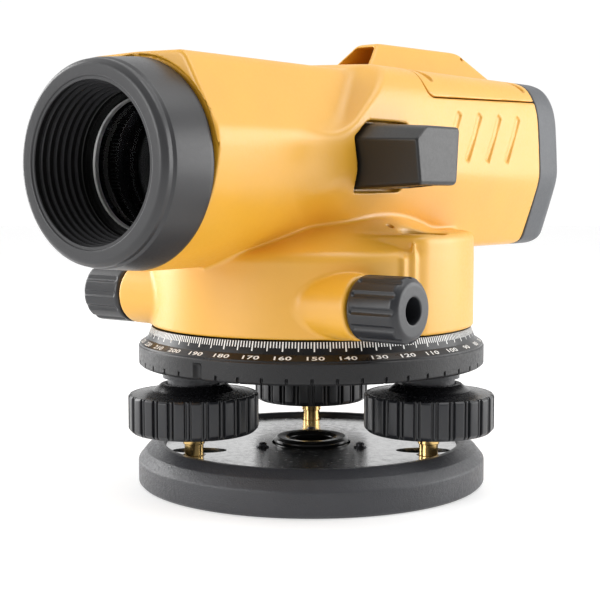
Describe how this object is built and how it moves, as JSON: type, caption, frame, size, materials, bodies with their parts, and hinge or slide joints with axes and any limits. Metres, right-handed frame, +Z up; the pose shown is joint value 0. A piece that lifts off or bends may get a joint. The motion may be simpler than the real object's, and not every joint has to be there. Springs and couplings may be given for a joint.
{
  "type": "surveyor's automatic level",
  "caption": "Optical automatic level for surveying: compensated telescope with hood and peep sight on a graduated circle, slow-motion drive and levelling base.",
  "frame": {"origin": "on the vertical axis, at the mouth of the tripod screw's hole in the underside of the base plate", "axes": "+Z up along the vertical axis; -Y is the way the telescope looks, +Y the eyepiece end; +X the side of the bubble prism, -X the side of the focusing knob"},
  "size_m": [0.1242, 0.2165, 0.1426],
  "materials": {
    "amber_paint": "fine textured golden-yellow paint on cast aluminium",
    "black_casting": "crinkle-textured black paint on cast aluminium",
    "black_anodised": "black anodised aluminium",
    "raw_aluminium": "machined aluminium",
    "polished_steel": "polished spring steel",
    "machined_steel": "machined steel",
    "black_steel": "blackened steel",
    "chromed": "bright plated steel",
    "brass": "turned brass",
    "knob_plastic": "charcoal moulded plastic",
    "hood_plastic": "satin charcoal moulded plastic",
    "circle_plastic": "textured black plastic with white graduations",
    "grey_plastic": "mid-grey moulded plastic",
    "seal_rubber": "black rubber",
    "lens_glass": "coated optical glass",
    "vial_glass": "glass vial with yellow-green spirit"
  },
  "bodies": {
    "base": {"base_plate": "black_casting", "spring_plate": "polished_steel", "spring_plate_screws": "chromed", "tripod_bush": "black_anodised", "foot_seats": "polished_steel"},
    "screw_a": {"foot_stem_a": "brass", "foot_knob_a": "knob_plastic"},
    "screw_b": {"foot_stem_b": "brass", "foot_knob_b": "knob_plastic"},
    "screw_c": {"foot_stem_c": "brass", "foot_knob_c": "knob_plastic"},
    "tribrach": {"tribrach": "black_casting", "foot_nuts": "brass", "axis_bush": "brass"},
    "circle": {"horizontal_circle": "circle_plastic"},
    "head": {"head_housing": "amber_paint", "bottom_plate": "black_anodised", "bottom_plate_screws": "chromed", "axis_spindle": "machined_steel", "axis_nut": "machined_steel", "top_cover": "amber_paint", "cover_screws": "black_steel", "rear_cover": "grey_plastic", "objective_hood": "hood_plastic", "hood_seal": "seal_rubber", "objective_cell": "black_anodised", "objective_lens_front": "lens_glass", "objective_lens_rear": "lens_glass", "lens_retainer": "machined_steel", "vial_case": "knob_plastic", "vial_glass": "vial_glass", "vial_screws": "brass", "prism_housing": "knob_plastic", "penta_prism": "lens_glass", "sight_lenses": "lens_glass", "eyepiece_mount": "black_anodised", "reticle": "lens_glass", "reticle_ring": "brass", "compensator_frame": "raw_aluminium", "damping_magnets": "chromed", "tangent_bushes": "brass", "focus_bush": "brass"},
    "compensator": {"pendulum": "raw_aluminium", "pendulum_prism": "lens_glass", "suspension_strips": "machined_steel"},
    "focusing": {"focus_shaft": "machined_steel", "focus_knob": "knob_plastic"},
    "carriage": {"focus_carriage": "black_anodised", "focus_lens": "lens_glass"},
    "tangent": {"tangent_shaft": "machined_steel", "tangent_knob_left": "knob_plastic", "tangent_knob_right": "knob_plastic"},
    "wheel": {"worm_wheel": "brass"},
    "diopter": {"diopter_ring": "knob_plastic", "eyecup": "seal_rubber"},
    "eye": {"eye_cell": "black_anodised", "eye_lens": "lens_glass"}
  },
  "joints": [
    {"name": "foot_screw_a", "type": "hinge", "parent": "base", "child": "screw_a", "pos_m": [-0.02545, 0.03341, 0.02], "axis": [0, 0, 1], "range_deg": [-1441, 721]},
    {"name": "foot_screw_b", "type": "hinge", "parent": "base", "child": "screw_b", "pos_m": [-0.01621, -0.03875, 0.02], "axis": [0, 0, 1], "range_deg": [-1441, 721]},
    {"name": "foot_screw_c", "type": "hinge", "parent": "base", "child": "screw_c", "pos_m": [0.04166, 0.00534, 0.02], "axis": [0, 0, 1], "range_deg": [-1441, 721]},
    {"name": "tribrach_lift", "type": "slide", "parent": "base", "child": "tribrach", "axis": [0, 0, 1], "range_m": [-0.0015, 0.003]},
    {"name": "circle_rotation", "type": "hinge", "parent": "tribrach", "child": "circle", "pos_m": [0, 0, 0.042], "axis": [0, 0, 1], "continuous": true},
    {"name": "head_rotation", "type": "hinge", "parent": "tribrach", "child": "head", "pos_m": [0, 0, 0.05], "axis": [0, 0, 1], "continuous": true},
    {"name": "tangent_screw", "type": "hinge", "parent": "head", "child": "tangent", "pos_m": [0, -0.0339, 0.0604], "axis": [1, 0, 0], "continuous": true},
    {"name": "worm_wheel_turn", "type": "hinge", "parent": "head", "child": "wheel", "pos_m": [0, 0, 0.0604], "axis": [0, 0, 1], "continuous": true},
    {"name": "focus_turn", "type": "hinge", "parent": "head", "child": "focusing", "pos_m": [-0.05, 0.025, 0.098], "axis": [1, 0, 0], "range_deg": [-141, 141]},
    {"name": "focus_travel", "type": "slide", "parent": "head", "child": "carriage", "axis": [0, 1, 0], "range_m": [-0.0098, 0.0098]},
    {"name": "compensator_swing", "type": "hinge", "parent": "head", "child": "compensator", "pos_m": [0, 0.064, 0.118], "axis": [1, 0, 0], "range_deg": [-1, 1]},
    {"name": "diopter_turn", "type": "hinge", "parent": "head", "child": "diopter", "pos_m": [0, 0.113, 0.1005], "axis": [0, 1, 0], "range_deg": [-150, 150]},
    {"name": "eye_lens_travel", "type": "slide", "parent": "head", "child": "eye", "axis": [0, 1, 0], "range_m": [-0.0015, 0.0015]}
  ],
  "couplings": [
    {"joint": "foot_screw_a", "follows": "tribrach_lift", "rad_per_m": -8377.6},
    {"joint": "foot_screw_b", "follows": "tribrach_lift", "rad_per_m": -8377.6},
    {"joint": "foot_screw_c", "follows": "tribrach_lift", "rad_per_m": -8377.6},
    {"joint": "tangent_screw", "follows": "worm_wheel_turn", "ratio": -72},
    {"joint": "focus_turn", "follows": "focus_travel", "rad_per_m": 250},
    {"joint": "diopter_turn", "follows": "eye_lens_travel", "rad_per_m": 1744.2}
  ]
}
